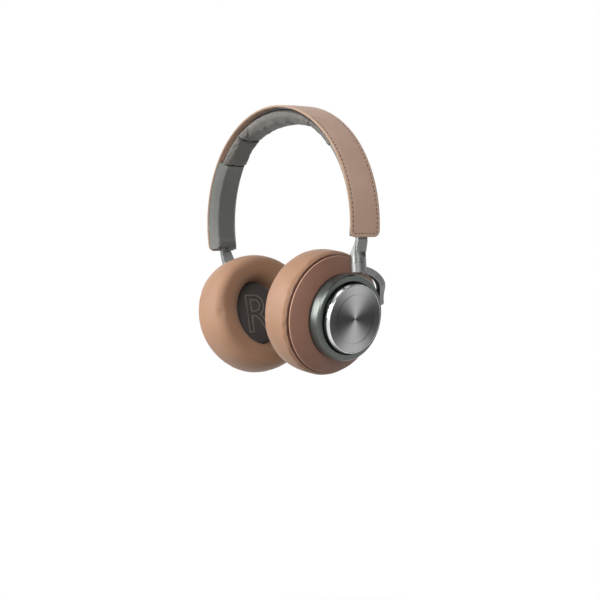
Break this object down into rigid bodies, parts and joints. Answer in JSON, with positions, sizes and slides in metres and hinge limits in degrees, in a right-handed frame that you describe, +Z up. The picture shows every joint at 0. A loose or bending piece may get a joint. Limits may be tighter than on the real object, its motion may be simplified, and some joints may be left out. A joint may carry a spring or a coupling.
{
  "type": "over-ear headphones",
  "caption": "Leather-clad arch with two sliding arms, one-sided swivel yokes and round padded ear cups with turned metal discs.",
  "frame": {"origin": "underside of the top pad, in the middle of the arch, where a stand or a hook holds the headphones", "axes": "+Z up, +X to the wearer's left, -Y to the front, the way the wearer looks"},
  "size_m": [0.183, 0.0883, 0.1973],
  "materials": {
    "tan_leather": "matt smooth grain, stitched",
    "grey_lining": "soft matt",
    "spring_steel": "blued satin",
    "sleeve_wrap": "soft matt over a moulding",
    "dark_plastic": "fine texture",
    "arm_aluminium": "satin",
    "yoke_aluminium": "fine blasted satin",
    "housing_aluminium": "anodised satin",
    "disc_aluminium": "spun brushed",
    "polished_bezel": "polished",
    "shell_skin": "smooth matt",
    "cushion_leather": "soft smooth grain",
    "speaker_cloth": "fine knit",
    "pin_steel": "ground",
    "bush_brass": "turned",
    "magnet_metal": "plated",
    "film": "thin clear film",
    "board_laminate": "solder mask",
    "cell_wrap": "shrink wrap",
    "black_screw": "black zinc",
    "socket_metal": "nickel plated"
  },
  "bodies": {
    "headband": {"headband_leather": "tan_leather", "headband_spring": "spring_steel", "sleeve_screws": "black_screw", "headband_pad": "grey_lining", "side_pad_left": "grey_lining", "side_pad_right": "grey_lining", "slider_sleeve_left": "sleeve_wrap", "slider_sleeve_right": "sleeve_wrap", "sleeve_cap_left": "dark_plastic", "sleeve_cap_right": "dark_plastic", "detent_leaf_left": "spring_steel", "detent_leaf_right": "spring_steel"},
    "arm_left": {"slider_arm_left": "arm_aluminium", "swivel_bush_left": "bush_brass"},
    "yoke_left": {"yoke_left": "yoke_aluminium", "swivel_pin_left": "pin_steel", "tilt_pin_left": "pin_steel"},
    "cup_left": {"cup_housing_left": "housing_aluminium", "disc_bezel_left": "polished_bezel", "touch_disc_left": "disc_aluminium", "pivot_bush_left": "bush_brass", "shell_leather_left": "shell_skin", "cup_shell_left": "dark_plastic", "baffle_left": "dark_plastic", "baffle_screws_left": "black_screw", "driver_frame_left": "dark_plastic", "driver_magnet_left": "magnet_metal", "diaphragm_left": "film", "cushion_ring_left": "dark_plastic", "ear_cushion_left": "cushion_leather", "speaker_cloth_left": "speaker_cloth", "battery": "cell_wrap"},
    "arm_right": {"slider_arm_right": "arm_aluminium", "swivel_bush_right": "bush_brass"},
    "yoke_right": {"yoke_right": "yoke_aluminium", "swivel_pin_right": "pin_steel", "tilt_pin_right": "pin_steel"},
    "cup_right": {"cup_housing_right": "housing_aluminium", "disc_bezel_right": "polished_bezel", "touch_disc_right": "disc_aluminium", "pivot_bush_right": "bush_brass", "shell_leather_right": "shell_skin", "cup_shell_right": "dark_plastic", "baffle_right": "dark_plastic", "baffle_screws_right": "black_screw", "driver_frame_right": "dark_plastic", "driver_magnet_right": "magnet_metal", "diaphragm_right": "film", "cushion_ring_right": "dark_plastic", "ear_cushion_right": "cushion_leather", "speaker_cloth_right": "speaker_cloth", "circuit_board": "board_laminate", "jack_socket": "socket_metal", "charge_port": "socket_metal"},
    "switch": {"power_switch": "dark_plastic"}
  },
  "joints": [
    {"name": "arm_slide_left", "type": "slide", "parent": "headband", "child": "arm_left", "axis": [0, 0, -1], "range_m": [0, 0.024]},
    {"name": "cup_swivel_left", "type": "hinge", "parent": "arm_left", "child": "yoke_left", "pos_m": [0.0812, 0, -0.10565], "axis": [0, 0, 1], "range_deg": [-10, 90]},
    {"name": "cup_tilt_left", "type": "hinge", "parent": "yoke_left", "child": "cup_left", "pos_m": [0.06863, -0.00177, -0.13343], "axis": [-0.0767, 0.9971, 0], "range_deg": [-14, 14]},
    {"name": "arm_slide_right", "type": "slide", "parent": "headband", "child": "arm_right", "axis": [0, 0, -1], "range_m": [0, 0.024]},
    {"name": "cup_swivel_right", "type": "hinge", "parent": "arm_right", "child": "yoke_right", "pos_m": [-0.0812, 0, -0.10565], "axis": [0, 0, -1], "range_deg": [-10, 90]},
    {"name": "cup_tilt_right", "type": "hinge", "parent": "yoke_right", "child": "cup_right", "pos_m": [-0.06863, -0.00177, -0.13343], "axis": [-0.0767, -0.9971, 0], "range_deg": [-14, 14]},
    {"name": "power_slide", "type": "slide", "parent": "cup_right", "child": "switch", "axis": [-0.0003, 0.9163, 0.4006], "range_m": [-0.002, 0.002]}
  ]
}
